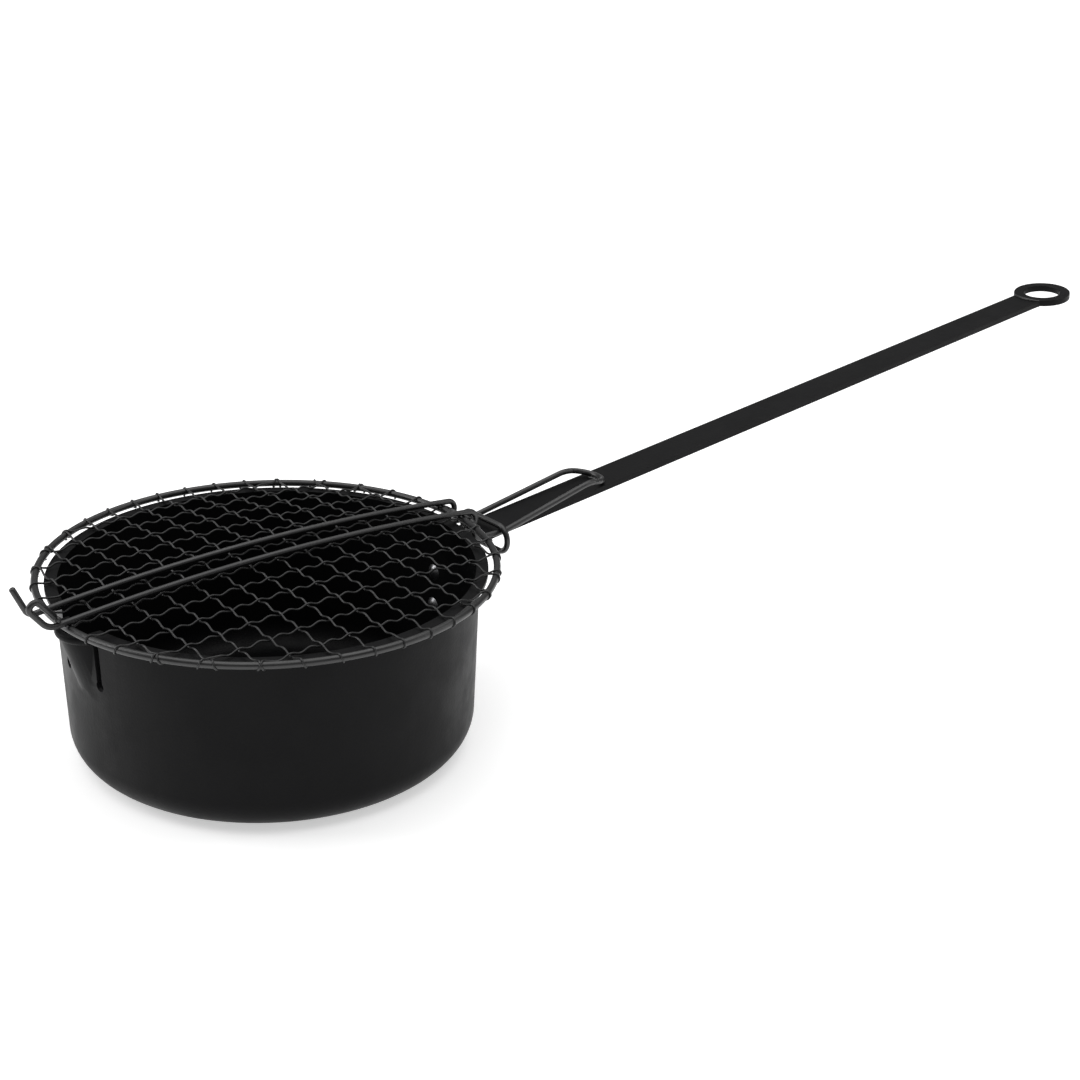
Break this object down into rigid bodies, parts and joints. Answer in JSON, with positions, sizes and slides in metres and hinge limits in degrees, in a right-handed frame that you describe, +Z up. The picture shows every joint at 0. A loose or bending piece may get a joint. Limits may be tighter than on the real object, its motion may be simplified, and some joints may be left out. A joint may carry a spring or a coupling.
{
  "type": "campfire popcorn popper",
  "caption": "Deep round steel pan with a pour spout, a long flat handle ending in a hanging ring, and a hinged, slightly domed wire mesh lid for popping corn over a fire.",
  "frame": {"origin": "middle of the pan's flat underside", "axes": "+Z up out of the pan, +X from the pan along the handle"},
  "size_m": [0.8135, 0.2398, 0.1468],
  "materials": {
    "pan_paint": "satin",
    "wire_paint": "satin",
    "mesh_paint": "satin",
    "rivet_steel": "bright"
  },
  "bodies": {
    "pan_and_handle": {"pan": "pan_paint", "handle_bar": "pan_paint", "hanging_ring": "pan_paint", "handle_rivets": "rivet_steel", "hinge_frame": "wire_paint", "keeper_loop": "wire_paint"},
    "lid": {"lid_ring": "wire_paint", "lid_hook_bar": "wire_paint", "lid_loop_bar": "wire_paint", "mesh_long_wire_01": "mesh_paint", "mesh_long_wire_02": "mesh_paint", "mesh_long_wire_03": "mesh_paint", "mesh_long_wire_04": "mesh_paint", "mesh_long_wire_05": "mesh_paint", "mesh_long_wire_06": "mesh_paint", "mesh_long_wire_07": "mesh_paint", "mesh_long_wire_08": "mesh_paint", "mesh_long_wire_09": "mesh_paint", "mesh_long_wire_10": "mesh_paint", "mesh_long_wire_11": "mesh_paint", "mesh_long_wire_12": "mesh_paint", "mesh_cross_wire_01": "mesh_paint", "mesh_cross_wire_02": "mesh_paint", "mesh_cross_wire_03": "mesh_paint", "mesh_cross_wire_04": "mesh_paint", "mesh_cross_wire_05": "mesh_paint", "mesh_cross_wire_06": "mesh_paint", "mesh_cross_wire_07": "mesh_paint", "mesh_cross_wire_08": "mesh_paint", "mesh_cross_wire_09": "mesh_paint", "mesh_cross_wire_10": "mesh_paint", "mesh_cross_wire_11": "mesh_paint", "mesh_cross_wire_12": "mesh_paint", "mesh_cross_wire_13": "mesh_paint"}
  },
  "joints": [
    {"name": "lid_hinge", "type": "hinge", "parent": "pan_and_handle", "child": "lid", "pos_m": [0.1228, 0, 0.09673], "axis": [0, 1, 0], "range_deg": [0, 160]}
  ]
}
